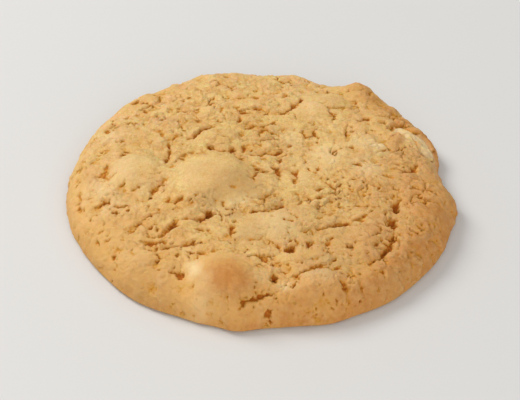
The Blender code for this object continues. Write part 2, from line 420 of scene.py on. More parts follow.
# Where the crust is more toasted than around it: x, y, half length, half width, turn, strength.
TOASTED = (
    (-7.5, -44.5, 6.5, 5, 0, 0.85),
    (39.2, 15.8, 1.3, 3.4, -10, 0.8),
    (40.2, 19.6, 3.2, 1.0, -30, 0.9),
    (46.6, 17.2, 6.5, 1.5, -52, 0.8),
    (50, 11, 3, 1.3, -70, 0.6),
    (34.5, 31, 12, 3.6, -52, 0.8),
    (40, 22, 4, 2.5, -50, 0.5),
    (-31, -6.5, 5, 3, 20, 0.3),
    (-5, -10, 6, 6, 0, 0.25),
    (16, -47, 9, 4, 10, 0.3),
    (35, -41, 11, 5.5, 45, 1.25),
    (44, -22, 12, 22, 0, 0.35),
    (2, -52, 12, 3, 0, 0.25),
    (-28, -41, 9, 5, -35, 0.35),
    (-7, -46.5, 4.5, 2.8, 0, 0.4),
)

# Where the crust is amber rather than khaki.
AMBER = (
    (31, 36, 10, 6.5, -50, 0.75),
    (41, 16, 9, 8, -45, 0.55),
    (45, -8, 7, 12, 0, 0.35),
    (-30, 36, 14, 6, 35, 0.30),
)

# Painted shade: patches where the crust is painted greyer and darker, as on the front of the middle
# mound.
PAINTED_SHADE_PATCHES = (
    (-5, -9, 6, 5.5, 30, 0.85),
    (-12, -15, 6, 4, 15, 0.7),
    (-3.5, -28, 6, 4, 0, 0.6),
    (18, -38, 6, 4, 0, 0.65),
    (6, -27, 8, 4, 20, 0.4),
    (-7, -21, 5, 3, 0, 0.4),
    (-38, -28, 12, 7, -40, 0.25),
    (-29, -41, 9, 5, -35, 0.4),
    (35, -41, 10, 5, 45, 0.3),
    (15, -28, 9, 6, 20, 0.3),
    (8, 5, 8, 8, 0, 0.15),
)

# Where the crust is full of dark specks.
SPECKLED = (
    (-6, -7, 5, 6, 20, 0.9),
    (-12, -13, 6, 4, 10, 0.7),
    (-17, -38, 3, 3, 0, 0.5),
    (-30, -42, 9, 4, -35, 0.5),
    (4, -38, 4, 4, 0, 0.4),
    (-8, -45, 7, 5, 0, 0.4),
)

# Where white chocolate lies right under the crust and pales it.
PALED = (
    (-17.2, -40.5, 2.2, 3.4, 15, 0.8),
    (-14.5, -49, 4, 2.6, 0, 0.35),
    (-39, -15.5, 6, 4.5, 0, 0.4),
    (-32, -34, 5, 3.5, 0, 0.2),
    (-15, -45.5, 3, 3.5, 0, 0.3),
    (-18.6, -33.2, 1.8, 1.4, 0, 0.4),
    (6.4, -45.6, 2.6, 1.3, 0, 0.6),
    (31.8, 9.2, 3.2, 2.4, 0, 0.45),
    (32.5, 6.5, 3, 2, 0, 0.3),
    (-32.8, -15.6, 2.5, 1.4, 0, 0.35),
    (27.5, 44, 2, 2, 0, 0.6),
    (42, 12.5, 3.6, 2.4, -45, 0.5),
    (4, -24, 6, 6.5, 20, 0.35),
    (-6.5, -16, 7, 1.8, 30, 0.45),
    (17, 5, 6, 6, 0, 0.45),
    (30.5, 9.5, 4, 3.5, 0, 0.4),
    (-37, -3, 7, 7, 0, 0.4),
    (-18, -5, 8, 7, 0, 0.25),
    (13, 27, 6, 7, 0, 0.25),
    (11, -5, 3, 3, 0, 0.3),
    (0, -43.5, 3, 2.5, 0, 0.3),
    (-42, -8, 6, 5, 0, 0.5),
    (-42, 14, 5, 5, 0, 0.35),
    (28, 11, 5, 5, 0, 0.4),
    (28.5, 0, 5, 5, 0, 0.5),
    (-14, -50.5, 7, 3, 0, 0.15),
    (8, 12, 5, 5, 0, 0.3),
    (-30, -10, 6, 3, 0, 0.3),
    (14, -42, 6, 4, 0, 0.35),
)

# Bare tips of small chips: x, y, half length, half width, turn, height over the crust.
CHIP_TIPS = (
    (31.0, 9.3, 1.3, 0.8, 5, 0.28),
    (32.9, 9.5, 1.1, 0.7, -15, 0.25),
    (31.8, 8.2, 0.9, 0.6, 20, 0.20),
    (19.4, 1.9, 0.6, 0.9, 20, 0.25),
    (18.9, 0.9, 0.5, 0.4, 0, 0.20),
)


# Layers of colour over the whole dough: its colour, the attribute that it keeps to, the size,
# detail and roughness of its noise, the span of the noise that counts, and how strong the layer
# is at the two ends of that span.
DOUGH_LAYERS = (
    ("honey", None, 7.0, 4.0, 0.55, 0.35, 0.68, 0.0, 1.0),
    ("peach", "outer", 4.2, 3.0, 0.55, 0.42, 0.60, 0.0, 0.9),
    ("straw", None, 4.8, 3.0, 0.55, 0.48, 0.62, 0.0, 0.7),
    ("honey", None, 0.9, 3.0, 0.7, 0.45, 0.70, 0.0, 0.5),
    ("cream_and_highlight", None, 0.5, 2.0, 0.6, 0.50, 0.72, 0.0, 0.65),
    ("cleft", None, 0.55, 2.0, 0.6, 0.30, 0.42, 0.5, 0.0),
)

# The same for the bare chocolate.
CHOCOLATE_LAYERS = (
    ("greyed", None, 3.4, 3.0, 0.55, 0.46, 0.60, 0.0, 0.85),
    ("straw", None, 2.4, 3.0, 0.55, 0.52, 0.66, 0.0, 0.8),
    ("honey", None, 0.8, 2.0, 0.55, 0.60, 0.78, 0.0, 0.5),
)

# The colour sockets of a Mix node, by number, because its other sockets have the same names.
MIX_COLOURS = (6, 7)
MIX_RESULT = 2

# Plates of crust that rise this way face the front right, away from the key light, and are given painted
# shade.
SHADED_RISE = (-0.5, 0.85, 0.0)


def amount(name, description, default, **options):
    """A number that a user can change."""
    return FloatProperty(name=name, description=description, default=default, **options)


def millimetres(name, description, default):
    return amount(name, description + ", in millimetres", default, min=0.0, max=20.0)


def paint(name, description, default):
    """A colour that a user can change."""
    return FloatVectorProperty(
        name=name,
        description=description,
        subtype="COLOR",
        size=3,
        default=default,
        min=0.0,
        max=1.0,
    )


class CookieCrust(bpy.types.PropertyGroup):
    rings: IntProperty(
        name="Rings",
        description="Rings of points from the middle of the crust to its widest edge",
        default=164,
        min=24,
        max=168,
    )
    roll: millimetres("Roll", "How far in the rolled edge reaches", 5.0)
    crumb: millimetres("Crumb", "Height of the uneven crumb between cracks", 0.24)
    grain: millimetres("Grain", "Height of the finest grain in the mesh", 0.04)
    # the depth at which a hollow takes its full painted shade
    cavity: millimetres("Cavity", "How deep a hollow is when the dough in it is fully brown", 0.85)
    crack: amount("Crack depth", "Factor on every placed crack and pit", 0.75, min=0.0, max=3.0)
    pinholes: IntProperty(
        name="Pinholes",
        description="Number of tiny pits scattered over the crust",
        default=1800,
        min=0,
        max=4000,
    )


class CookieColours(bpy.types.PropertyGroup):
    golden: paint("Golden crust", "The crust at its palest", (0.765, 0.515, 0.191))
    honey: paint("Honey crust", "The crust where it is a little darker", (0.64, 0.385, 0.109))
    peach: paint("Peach patches", "Where the crust is a little redder", (0.80, 0.473, 0.226))
    straw: paint("Straw patches", "Where the crust is a little yellower", (0.77, 0.570, 0.208))
    amber: paint("Amber crust", "The crust low on the near rim", (0.75, 0.42, 0.125))
    toasted: paint("Toasted crust", "The crust at the rim and on the mounds", (0.55, 0.235, 0.055))
    # painted shade just inside a crack
    shallow: paint("Shallow crack", "The dough just inside a crack", (0.64, 0.30, 0.040))
    # the orange fringe round a pit, and painted shade on plates that face away from the key light
    fringe_and_shade: paint("Stain", "The crust round a pit", (0.71, 0.36, 0.090))
    # painted shade in the thin lines between crumbs; this colour also paints fine dark specks and dots
    cleft: paint("Cleft", "The thin lines between crumbs", (0.62, 0.25, 0.035))
    # painted shade at the bottom of a deep pit; this colour also paints the dark specks and the
    # underside's pores
    deep: paint("Deep crack", "The caramel brown at the bottom of a deep pit", (0.46, 0.13, 0.008))
    # the paling over white chocolate, and a painted highlight on raised crumbs
    cream_and_highlight: paint("Paled crust", "The crust over white chocolate", (0.87, 0.68, 0.37))
    # painted shade in greyer patches
    dulled: paint("Dulled crust", "The crust where it is greyer", (0.55, 0.35, 0.140))
    chocolate: paint("White chocolate", "The bare chunk and the tips", (0.80, 0.58, 0.29))
    greyed: paint("Greyed chocolate", "Where the bare chocolate dulled", (0.60, 0.43, 0.24))
    underside: paint("Underside", "The dough that lay on the tray", (0.50, 0.24, 0.075))


class CookieStage(bpy.types.PropertyGroup):
    floor: paint("Floor", "The plain pale surface under the cookie", (0.69, 0.69, 0.685))
    key_power: amount("Key light", "Power of the soft light at the left", 9.5, min=0.0, unit="POWER")
    fill_power: amount("Fill light", "Power of the light at the front", 5.5, min=0.0, unit="POWER")
    sky: amount("Sky", "Strength of the even light from all round", 0.49, min=0.0)
    elevation: amount(
        "Camera elevation", "Angle of the camera over the floor", math.radians(39.55), subtype="ANGLE"
    )
    distance: amount(
        "Camera distance", "From the camera to the floor in the middle of the view", 0.4648, unit="LENGTH"
    )
    lens: amount("Lens", "Focal length of the camera, in millimetres", 117.7, unit="CAMERA")


# ---------------------------------------------------------------- shape helpers


def smoothstep(low, high, value):
    """Rises smoothly from 0 where the value is low to 1 where it is high."""
    share = np.clip((value - low) / (high - low), 0, 1)
    return share * share * (3 - 2 * share)


def gradient_noise(points, size, seed):
    """Smooth noise between about -1 and 1 at each point, with swells about size across."""
    draws = np.random.default_rng(seed)
    slopes = draws.normal(size=(256, 3))
    slopes /= np.linalg.norm(slopes, axis=1)[:, None]
    shuffled = draws.permutation(256)
    place = points / size
    corner = np.floor(place).astype(int)
    inside = place - corner
    fade = inside**3 * (inside * (inside * 6 - 15) + 10)
    total = np.zeros(len(points))
    for step in product((0, 1), repeat=3):
        cell = (corner + step) & 255
        key = shuffled[cell[:, 0]]
        key = shuffled[(key + cell[:, 1]) & 255]
        key = shuffled[(key + cell[:, 2]) & 255]
        weight = np.prod(np.where(step, fade, 1 - fade), axis=1)
        total += weight * np.sum(slopes[key] * (inside - step), axis=1)
    return total * 1.6


def layered_noise(points, size, seed, layers=3):
    """Noise whose finer layers are each half as large and half as high."""
    total = np.zeros(len(points))
    for layer in range(layers):
        total += gradient_noise(points, size / 2**layer, seed + layer) / 2**layer
    return total


def crumb_cells(x, y, size, seed):
    """For each place, the way to the middle of its crumb, the crumb's level and how far its edge is."""
    draws = np.random.default_rng(seed)
    inset_x, inset_y, levels = draws.uniform(0, 1, (3, 256, 256))
    column = np.floor(x / size).astype(int)
    row = np.floor(y / size).astype(int)
    to_x, to_y, next_x, next_y = np.full((4, len(x)), 1e6)
    level = np.zeros(len(x))
    for step_x, step_y in product((-1, 0, 1), repeat=2):
        cell = ((column + step_x) & 255, (row + step_y) & 255)
        way_x = (column + step_x + inset_x[cell]) * size - x
        way_y = (row + step_y + inset_y[cell]) * size - y
        away = np.hypot(way_x, way_y)
        nearest = away < np.hypot(to_x, to_y)
        second = away < np.hypot(next_x, next_y)
        next_x = np.where(nearest, to_x, np.where(second, way_x, next_x))
        next_y = np.where(nearest, to_y, np.where(second, way_y, next_y))
        to_x = np.where(nearest, way_x, to_x)
        to_y = np.where(nearest, way_y, to_y)
        level = np.where(nearest, 2 * levels[cell] - 1, level)
    apart = np.hypot(next_x - to_x, next_y - to_y)
    edge = (next_x**2 + next_y**2 - to_x**2 - to_y**2) / (2 * np.maximum(apart, 1e-6))
    return to_x, to_y, level, edge


def oval(x, y, middle_x, middle_y, half_length, half_width, turn=0.0):
    """How far out each place is from an oval's middle: 1 on its edge."""
    cos = math.cos(math.radians(turn))
    sin = math.sin(math.radians(turn))
    along = (x - middle_x) * cos + (y - middle_y) * sin
    across = (y - middle_y) * cos - (x - middle_x) * sin
    return np.hypot(along / half_length, across / half_width)


def front_right(x, y, start):
    """1 far to the front right, where the crust is full of tiny pits, and 0 up to the start."""
    return smoothstep(start, 44, 0.75 * x - 0.65 * y)


def strengths(x, y, table, flank, power):
    """For each row of a table of ovals, its strength at each place, falling off from its middle."""
    for *place, strength in table:
        yield strength * np.exp(-flank * oval(x, y, *place) ** power)


def out_at(angle, radius, height):
    """The place at an angle round the middle, a distance out from it and a height."""
    return Vector((radius * math.cos(angle), radius * math.sin(angle), height))


def line_place(x, y, points):
    """Distance from each place to a line through points, and how far along it that is."""
    nearest = np.full(x.shape, np.inf)
    along_line = np.zeros(x.shape)
    lengths = [math.dist(a, b) for a, b in zip(points, points[1:])]
    start = 0.0
    for (x0, y0), (x1, y1), length in zip(points, points[1:], lengths):
        share = ((x - x0) * (x1 - x0) + (y - y0) * (y1 - y0)) / length**2
        share = np.clip(share, 0, 1)
        away = np.hypot(x - x0 - share * (x1 - x0), y - y0 - share * (y1 - y0))
        closer = away < nearest
        nearest = np.where(closer, away, nearest)
        along_line = np.where(closer, start + share * length, along_line)
        start += length
    return nearest, along_line / start


# ---------------------------------------------------------------- the crust's own form


class PackedShell:
    """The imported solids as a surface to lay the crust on, in millimetres from the rim's middle."""

    def __init__(self):
        points = []
        faces = []
        for name, grow in (("cookie", 0.0), ("white_chunk", 0.5)):
            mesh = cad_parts[name].data
            first = len(points)
            for vertex in mesh.vertices:
                place = vertex.co / MM + vertex.normal * grow
                points.append(place - Vector((*RIM_MIDDLE, 0)))
            faces.extend([first + index for index in face.vertices] for face in mesh.polygons)
        self.tree = BVHTree.FromPolygons(points, faces)
        self.top = max(point.z for point in points)
        self.widest_height = max(points, key=lambda point: math.hypot(point.x, point.y)).z
        self.reach = 2 * max(point.length for point in points)

    def hit(self, start, direction):
        place = self.tree.ray_cast(start, direction)[0]
        if place is None:
            raise RuntimeError(f"no packed surface from {tuple(start)} along {tuple(direction)}")
        return place

    def edge(self, angle, height):
        """Distance out to the side of the solid, at one angle and height."""
        place = self.hit(out_at(angle, self.reach, height), -out_at(angle, 1, 0))
        return math.hypot(place.x, place.y)

    def above(self, angle, radius):
        """The top of the solid, seen from straight above."""
        return self.hit(out_at(angle, radius, self.top + 5), Vector((0, 0, -1)))

    def rolled(self, angle, radius, rise):
        """The rolled edge, seen from the spine inside it, at an angle of rise over the level."""
        start = out_at(angle, radius, self.widest_height)
        return self.hit(start, out_at(angle, math.cos(rise), math.sin(rise)))


def ring_angles(count):
    return [index * 2 * math.pi / count for index in range(count)]


def crust_rings(shell, rings, roll):
    """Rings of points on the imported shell, from the middle of the top round to the underside."""
    roll_rings = round(ROLL_LENGTH / RIM_RADIUS * rings)
    top_rings = rings - roll_rings
    laid = [[shell.above(0, 0)]]
    for number in range(1, rings + 1):
        ring = []
        for angle in ring_angles(6 * number):
            shoulder = shell.edge(angle, shell.widest_height) - roll
            if number <= top_rings:
                ring.append(shell.above(angle, shoulder * number / top_rings))
            else:
                rise = (rings - number) / roll_rings * math.pi / 2
                ring.append(shell.rolled(angle, shoulder, rise))
        laid.append(ring)
    tuck_counts = (6 * rings, 4 * rings, 3 * rings)
    for step, count in enumerate(tuck_counts, 1):
        height = max(shell.widest_height * (1 - step / len(tuck_counts)), FOOT_HEIGHT)
        laid.append([out_at(angle, shell.edge(angle, height), height) for angle in ring_angles(count)])
    foot = [math.hypot(point.x, point.y) for point in laid[-1]]
    under_rings = round(RIM_RADIUS / UNDER_SPACING)
    for number in range(under_rings - 1, 0, -1):
        ring = []
        for angle in ring_angles(6 * number):
            turn = angle / (2 * math.pi) * len(foot)
            radius = np.interp(turn, range(len(foot) + 1), foot + foot[:1]) * number / under_rings
            ring.append(out_at(angle, radius, 0.0))
        laid.append(ring)
    laid.append([Vector((0, 0, 0))])
    return laid


def band_faces(first_inner, inner, first_outer, outer):
    """Triangles that fill the band between two closed rings, by the numbers of their points."""
    faces = []
    i = 0
    j = 0
    while i < inner or j < outer:
        here = first_inner + i % inner
        there = first_outer + j % outer
        if j == outer or (i < inner and (i + 1) * outer <= (j + 1) * inner):
            i += 1
            if inner > 1:
                faces.append((here, there, first_inner + i % inner))
        else:
            j += 1
            if outer > 1:
                faces.append((here, there, first_outer + j % outer))
    return faces


def mesh_from_rings(name, rings):
    points = [point * MM for ring in rings for point in ring]
    shift = Vector((*RIM_MIDDLE, 0)) * MM
    faces = []
    first = 0
    for ring, following in zip(rings, rings[1:]):
        faces.extend(band_faces(first, len(ring), first + len(ring), len(following)))
        first += len(ring)
    mesh = bpy.data.meshes.new(name)
    mesh.from_pydata([point + shift for point in points], [], faces)
    mesh.validate()
    mesh.shade_smooth()
    return mesh


def mesh_from(bm, name):
    """A smooth mesh made from a bmesh, which is then freed."""
    mesh = bpy.data.meshes.new(name)
    bm.to_mesh(mesh)
    bm.free()
    mesh.shade_smooth()
    return mesh


def new_object(name, mesh):
    obj = bpy.data.objects.new(name, mesh)
    bpy.context.scene.collection.objects.link(obj)
    return obj


def keep_modified_mesh(obj):
    """Replaces the object's mesh with what its modifiers make of it, and drops them."""
    graph = bpy.context.evaluated_depsgraph_get()
    settled = bpy.data.meshes.new_from_object(obj.evaluated_get(graph))
    obj.modifiers.clear()
    obj.data = settled


def mesh_arrays(mesh):
    """The places and the normals of a mesh's points."""
    arrays = []
    for items, name in ((mesh.vertices, "co"), (mesh.vertex_normals, "vector")):
        values = np.empty(len(items) * 3, np.float32)
        items.foreach_get(name, values)
        arrays.append(values.reshape(-1, 3).astype(float))
    return arrays


def roughen(mesh, heights):
    """Moves a mesh's points out along their normals, by heights in millimetres at their places."""
    places, normals = mesh_arrays(mesh)
    set_places(mesh, places + normals * (heights(places / MM) * MM)[:, None])


def set_places(mesh, places):
    mesh.vertices.foreach_set("co", places.astype(np.float32).ravel())
    mesh.update()


def mesh_edges(mesh):
    edges = np.empty(len(mesh.edges) * 2, np.int32)
    mesh.edges.foreach_get("vertices", edges)
    return edges.reshape(-1, 2)


def set_attribute(mesh, name, values):
    attribute = mesh.attributes.new(name, "FLOAT", "POINT")
    attribute.data.foreach_set("value", np.clip(values, 0, 1).astype(np.float32))


def spread_out(values, edges, times):
    """Values at the points of a mesh, averaged with their neighbours a number of times."""
    start = edges[:, 0]
    end = edges[:, 1]
    count = len(values)
    near = np.bincount(start, minlength=count) + np.bincount(end, minlength=count)
    for _ in range(times):
        total = np.bincount(start, values[end], count) + np.bincount(end, values[start], count)
        values = 0.5 * values + 0.5 * total / near
    return values


class Relief:
    """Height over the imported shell, and how the crust is coloured, at each point of the mesh."""

    def __init__(self, places, normals, shell, crust):
        self.points = places / MM - np.array([*RIM_MIDDLE, 0])
        self.x = self.points[:, 0]
        self.y = self.points[:, 1]
        self.crust = crust
        self.radius = np.hypot(self.x, self.y)
        self.inward = self.rim_radius(shell) - self.radius
        # 1 where the crust is worked, and 0 on the underside
        self.up = smoothstep(-0.55, -0.15, normals[:, 2])
        self.height = np.zeros(len(places))
        self.hollow = np.zeros(len(places))
        self.by_chunk = np.zeros(len(places))
        self.whole = self.whole_crust()
        self.loose = self.looseness()
        # the same places with the rolled edge unrolled into the plane
        drop = np.clip(SHOULDER_HEIGHT - self.points[:, 2], 0, None)
        unrolled = 1 + EDGE_UNROLL * drop**2 / np.maximum(self.radius, 1)
        self.flat_x = self.x * unrolled
        self.flat_y = self.y * unrolled
        self.break_into_crumbs()

    def rim_radius(self, shell):
        """How far out the rim is at the angle of each place."""
        turns = np.radians(np.arange(0, 361, 0.5))
        edge = [shell.edge(angle, shell.widest_height) for angle in turns]
        return np.interp(np.arctan2(self.y, self.x) % (2 * math.pi), turns, edge)

    def break_into_crumbs(self):
        """Splits the crust into angular crumbs, which later lines and edges keep to."""
        self.to_crumb_x = np.zeros(len(self.x))
        self.to_crumb_y = np.zeros(len(self.x))
        for size, keep, height, seed in CRUMB_CELLS:
            x = self.flat_x + 0.3 * size * gradient_noise(self.points, size, seed + 1)
            y = self.flat_y + 0.3 * size * gradient_noise(self.points, size, seed + 2)
            to_x, to_y, level, _ = crumb_cells(x, y, size, seed)
            self.to_crumb_x += keep * to_x * (1 - self.whole)
            self.to_crumb_y += keep * to_y * (1 - self.whole)
            self.height += height * level * self.loose

    def whole_crust(self):
        """1 where the crust stays smooth over a nut, 0 where it is free to craze."""
        whole = np.zeros(len(self.x))
        for mound in NUT_MOUNDS:
            whole = np.maximum(whole, 1 - smoothstep(0.50, 1.0, oval(self.x, self.y, *mound)))
        return whole

    def wander(self, size, reach, seed):
        """The plan places, moved about a little, so that lines over them wander."""
        x = self.x + reach * gradient_noise(self.points, size, seed)
        y = self.y + reach * gradient_noise(self.points, size, seed + 1)
        return x, y

    def broken(self, size, reach, seed, keep=1.0):
        """The plan places, moved about so that lines over them wander and keep to the crumbs."""
        x, y = self.wander(size, reach, seed)
        return x + keep * self.to_crumb_x, y + keep * self.to_crumb_y

    def lift_plates(self):
        """Lifts or lowers the placed plates of crust."""
        x, y = self.wander(5.0, 0.9, 11)
        for height in strengths(x, y, LIFTED_PLATES, 1.0, 3):
            self.height += height

    def ring_mounds(self):
        """Stands each nut mound a little prouder, with a shallow valley round its foot."""
        x, y = self.wander(6.0, 0.8, 15)
        uneven = np.clip(0.45 + 1.1 * gradient_noise(self.points, 9.0, 17), 0, 1.2)
        for mound in NUT_MOUNDS:
            out = oval(x, y, *mound)
            self.height += MOUND_RISE * np.exp(-((out / 0.85) ** 3))
            foot = np.exp(-(((out - VALLEY_PLACE) / VALLEY_WIDTH) ** 2))
            self.height -= VALLEY_DEPTH * uneven * foot

    def stretched(self, x, y):
        """Places pulled out from the middle, so that noise over them lies longer round the rim's way."""
        turned = np.arctan2(self.y, self.x)
        stretch = 0.6 * smoothstep(10, 35, self.radius)
        out = (x * np.cos(turned) + y * np.sin(turned)) * stretch
        return x + np.cos(turned) * out, y * 1.2 + np.sin(turned) * out

    def crumble(self):
        """Irregular crumbs with ragged valleys between, and holes where two valleys cross."""
        for size, height, flank, seed in CRUMBS:
            x, y = self.stretched(*self.broken(0.8 * size, 0.25 * size, seed))
            points = np.stack([x, y, self.points[:, 2]], axis=1)
            lumps = layered_noise(points, size, seed + 3) + 0.15
            self.height += height * self.loose * (smoothstep(-flank, flank, lumps) - 0.65)
        crossing = np.ones(len(self.x))
        cobbled = front_right(self.x, self.y, 5)
        for size, half_width, depth, share, seed in CREVICES:
            x, y = self.stretched(*self.broken(0.5 * size, 0.3 * size, seed))
            _, _, level, edge = crumb_cells(x, y, size, seed + 3)
            opened = gradient_noise(self.points, 0.8 * size, seed + 5) + share - 0.3
            opened = smoothstep(0.0, 0.6, opened + 0.4 * self.loose) * (1 - 0.85 * self.whole)
            opened *= np.maximum(0.35 + 0.65 * smoothstep(0, 8, self.inward), 0.5 * cobbled)
            ragged = np.clip(1 + 1.3 * gradient_noise(self.points, 1.2, seed + 7), 0.2, 2)
            valley = np.exp(-((edge / (half_width * ragged)) ** 2)) * opened
            self.height += depth * (0.32 * level * (0.5 + self.loose) * (1 - self.whole) - valley)
            crossing *= valley
        self.height -= CROSSING_DEPTH * smoothstep(0.12, 0.4, crossing)

    def looseness(self):
        """How far the crust crumbled at each place, from 0 to about 1."""
        loose = np.full(len(self.x), 0.28)
        x, y = self.wander(9.0, 3.0, 46)
        for strength in strengths(x, y, LOOSE_PLACES, 0.7, 3):
            loose = np.maximum(loose, strength)
        settled = 1 - 0.80 * self.whole
        for strength in strengths(x, y, SMOOTH_PLACES, 0.7, 3):
            settled *= 1 - strength
        self.crazed = 0.52 * settled * smoothstep(2, 10, self.inward)
        return loose * settled * (0.5 + 0.5 * smoothstep(0, 5, self.inward))

    def uneven_crumb(self):
        """Makes the crust uneven in large, middling and fine swells."""
        whole = 1 - 0.4 * self.whole
        self.height += self.crust.crumb * whole * layered_noise(self.points, 7.0, 51, 2)
        self.height += 0.8 * self.crust.crumb * whole * layered_noise(self.points, 3.0, 61)
        rough = self.crust.grain * (0.6 + 1.5 * self.loose)
        self.height += rough * layered_noise(self.points, 1.1, 71, 2)

    def open_cracks(self):
        """Cuts the placed cracks, which taper to their ends and pull the crust down beside them."""
        x, y = self.broken(1.4, 0.45, 81, 0.5)
        ragged = 1 + 0.7 * gradient_noise(self.points, 1.0, 91)
        broken = np.clip(1.0 + 0.7 * gradient_noise(self.points, 2.4, 93), 0.45, 1.3)
        for points, depth, width in CRACKS:
            near = self.near_line(points, 4 * width)
            away, along = line_place(x[near], y[near], points)
            taper = np.sqrt(np.clip(4 * along * (1 - along), 0, 1)) * 0.7 + 0.3
            taper *= np.maximum(broken[near], 0.9 * smoothstep(1.4, 2.6, depth))
            across = away / (0.58 * width * ragged[near] * taper)
            cut = (1 - smoothstep(0.5, 1.25, across)) * taper
            dip = np.exp(-((away / 1.5) ** 2)) * taper
            self.height[near] -= self.opening(depth) * (0.14 * dip + 0.9 * cut)
            self.deepen(near, min(0.25 + 0.50 * depth, 1) * cut)

    def deepen(self, near, tone):
        """Marks places as hollow, unless they already are."""
        self.hollow[near] = np.maximum(self.hollow[near], tone)

    def opening(self, depth):
        """How deep a placed crack or pit is cut: the shallow ones stay faint."""
        return depth * self.crust.crack * (0.4 + 0.6 * smoothstep(0.6, 1.7, depth))

    def near_line(self, points, reach):
        """The numbers of the places that may be within reach of a line."""
        xs, ys = zip(*points)
        inside_x = (self.x > min(xs) - reach) & (self.x < max(xs) + reach)
        inside_y = (self.y > min(ys) - reach) & (self.y < max(ys) + reach)
        return np.nonzero(inside_x & inside_y & (self.up > 0.02))[0]

    def open_pits(self):
        """Cuts the placed pits."""
        x, y = self.broken(1.0, 0.40, 101, 0.6)
        ragged = 1 + 0.5 * gradient_noise(self.points, 0.8, 107)
        for *place, depth in PITS:
            near = self.near_line((place[:2],), 3 * max(place[2:4]))
            out = oval(x[near], y[near], *place)
            cut = 1 - smoothstep(0.70, 1.15, out / ragged[near])
            self.height[near] -= self.opening(depth) * (cut + 0.08 * np.exp(-((out / 2) ** 2)))
            self.deepen(near, min(0.20 + 0.50 * depth, 1) * cut)

    def prick_pinholes(self):
        """Tiny pits, closest together on the rolled edge and at the front right."""
        draws = np.random.default_rng(111)
        x = self.flat_x + 0.5 * self.to_crumb_x
        y = self.flat_y + 0.5 * self.to_crumb_y
        for _ in range(self.crust.pinholes):
            angle = draws.uniform(0, 2 * math.pi)
            radius = PINHOLE_REACH * math.sqrt(draws.uniform(0.02, 1))
            half = draws.uniform(*PINHOLE_HALVES)
            depth = draws.uniform(*PINHOLE_DEPTHS)
            middle_x = radius * math.cos(angle)
            middle_y = radius * math.sin(angle)
            if draws.uniform() > 0.07 + 0.93 * front_right(middle_x, middle_y, 8):
                continue
            near = np.nonzero(np.abs(x - middle_x) + np.abs(y - middle_y) < 2)[0]
            turn = math.degrees(angle) + 90 + draws.uniform(-40, 40)
            out = oval(x[near], y[near], middle_x, middle_y, 1.15 * half, half, turn)
            cut = (1 - smoothstep(0.5, 1.3, out)) * (1 - 0.8 * self.whole[near])
            self.height[near] -= depth * cut
            self.deepen(near, (0.4 + 0.8 * depth) * cut)

    def patches(self, table):
        """How strongly a table's patches colour each place, where the strongest wins."""
        x, y = self.wander(2.5, 0.8, 131)
        strong = np.zeros(len(self.x))
        for strength in strengths(x, y, table, 1.0, 2):
            strong = np.maximum(strong, strength)
        return strong

    def speckle(self):
        """How full of dark specks each place is: the front right, and where they are placed."""
        return np.maximum(front_right(self.x, self.y, 5), self.patches(SPECKLED))

    def ambered(self):
        """How amber the crust is: low on the rim at the front left, and in patches."""
        front = smoothstep(0, 45, -0.85 * self.y - 0.4 * self.x)
        return np.maximum(0.9 * front * smoothstep(22, 50, self.radius), self.patches(AMBER))

    def toast(self):
        """How browned the crust is: at the rim, to the front right and where it is placed."""
        edge = np.exp(-np.clip(self.inward, 0, None) / 3.0)
        low = 1 - smoothstep(1.0, 4.5, self.points[:, 2])
        side = smoothstep(5, 55, self.x * 0.85 - self.y * 0.45)
        brown = 0.22 * edge + 0.25 * low + 0.50 * side
        brown += 0.14 * layered_noise(self.points, 9.0, 121)
        brown += 0.35 * np.clip(self.height, -0.3, 0.6)
        for strength in strengths(self.x, self.y, TOASTED, 1.0, 2):
            brown += strength
        return brown

    def pale(self):
        """How pale the crust is over white chocolate, apart from its hollows."""
        return np.maximum(self.patches(PALED), 0.55 * self.by_chunk) * (1 - self.hollow)


def seat_round_chunk(relief, places):
    """Lowers the crust under the bare top of the chunk, and leaves it over the chunk's sides."""
    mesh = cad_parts["white_chunk"].data
    tree = BVHTree.FromPolygons(
        [vertex.co for vertex in mesh.vertices],
        [tuple(face.vertices) for face in mesh.polygons],
    )
    low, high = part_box("white_chunk")
    margin = CHUNK_MARGIN * MM
    close = np.all((places > np.array(low) - margin) & (places < np.array(high) + margin), axis=1)
    ragged = 0.25 * layered_noise(relief.points, 3.0, 151, 2)
    for index in np.nonzero(close)[0]:
        place = Vector(places[index])
        surface, outward, _, _ = tree.find_nearest(place)
        clear = (place - surface).dot(outward) / MM
        relief.by_chunk[index] = 1 - smoothstep(0.3, 2.0, abs(clear + 0.2))
        bare = smoothstep(0.15, 0.50, outward.z + ragged[index])
        bare *= 1 - smoothstep(1.1, 1.7, clear)
        relief.height[index] += bare * (-clear - CHUNK_PROUD - relief.height[index])


# ---------------------------------------------------------------- material helpers


